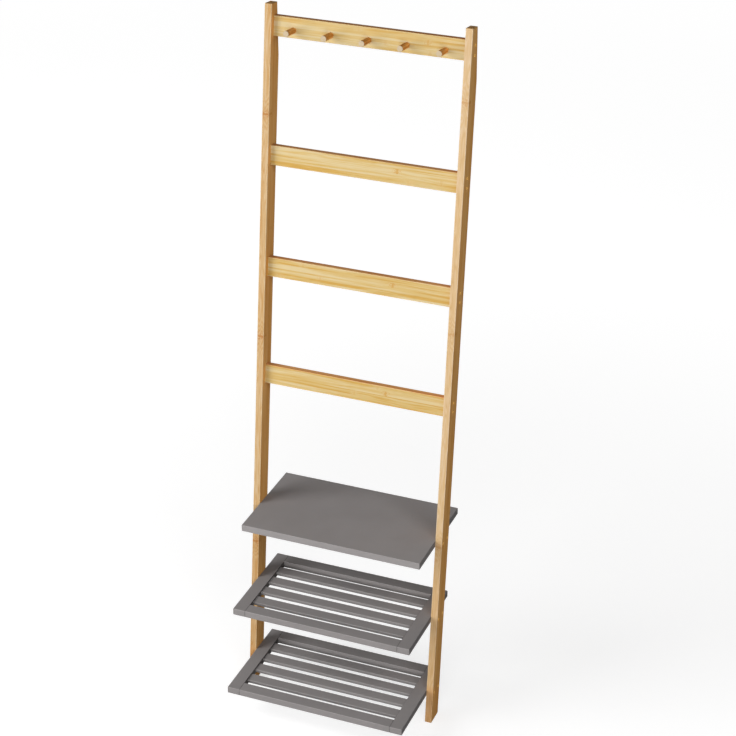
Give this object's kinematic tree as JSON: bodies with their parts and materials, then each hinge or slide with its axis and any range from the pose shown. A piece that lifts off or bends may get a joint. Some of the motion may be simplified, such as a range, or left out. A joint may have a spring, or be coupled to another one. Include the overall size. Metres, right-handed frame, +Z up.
{
  "type": "towel ladder",
  "caption": "Leaning bamboo towel ladder with a peg rail at the top, plain rungs, a solid grey shelf and slatted grey shelves near the floor.",
  "frame": {"origin": "on the floor, midway between the posts, halfway from the bottom shelf's front edge to the wall", "axes": "+X to the right of someone facing the ladder, +Y back to the wall, +Z up"},
  "size_m": [0.43, 0.3482, 1.4959],
  "materials": {
    "bamboo_post": "clear satin lacquer on laminated bamboo",
    "bamboo_rung": "clear satin lacquer on laminated bamboo",
    "bamboo_peg": "clear satin lacquer, pale end grain",
    "grey_paint": "warm grey satin paint",
    "dowel_wood": "plain wood",
    "yellow_zinc": "yellow zinc plating"
  },
  "bodies": {
    "root": {"bottom_shelf_back_rail": "grey_paint", "bottom_shelf_dowels": "dowel_wood", "bottom_shelf_front_rail": "grey_paint", "bottom_shelf_left_end_rail": "grey_paint", "bottom_shelf_right_end_rail": "grey_paint", "bottom_shelf_screws": "yellow_zinc", "bottom_shelf_slat_1": "grey_paint", "bottom_shelf_slat_2": "grey_paint", "bottom_shelf_slat_3": "grey_paint", "bottom_shelf_slat_4": "grey_paint", "hook_peg_1": "bamboo_peg", "hook_peg_2": "bamboo_peg", "hook_peg_3": "bamboo_peg", "hook_peg_4": "bamboo_peg", "hook_peg_5": "bamboo_peg", "hook_rail": "bamboo_rung", "hook_rail_screws": "yellow_zinc", "left_post": "bamboo_post", "lower_rung": "bamboo_rung", "lower_rung_screws": "yellow_zinc", "middle_rung": "bamboo_rung", "middle_rung_screws": "yellow_zinc", "middle_shelf_back_rail": "grey_paint", "middle_shelf_dowels": "dowel_wood", "middle_shelf_front_rail": "grey_paint", "middle_shelf_left_end_rail": "grey_paint", "middle_shelf_right_end_rail": "grey_paint", "middle_shelf_screws": "yellow_zinc", "middle_shelf_slat_1": "grey_paint", "middle_shelf_slat_2": "grey_paint", "middle_shelf_slat_3": "grey_paint", "middle_shelf_slat_4": "grey_paint", "right_post": "bamboo_post", "top_shelf": "grey_paint", "top_shelf_screws": "yellow_zinc", "upper_rung": "bamboo_rung", "upper_rung_screws": "yellow_zinc"}
  },
  "joints": []
}
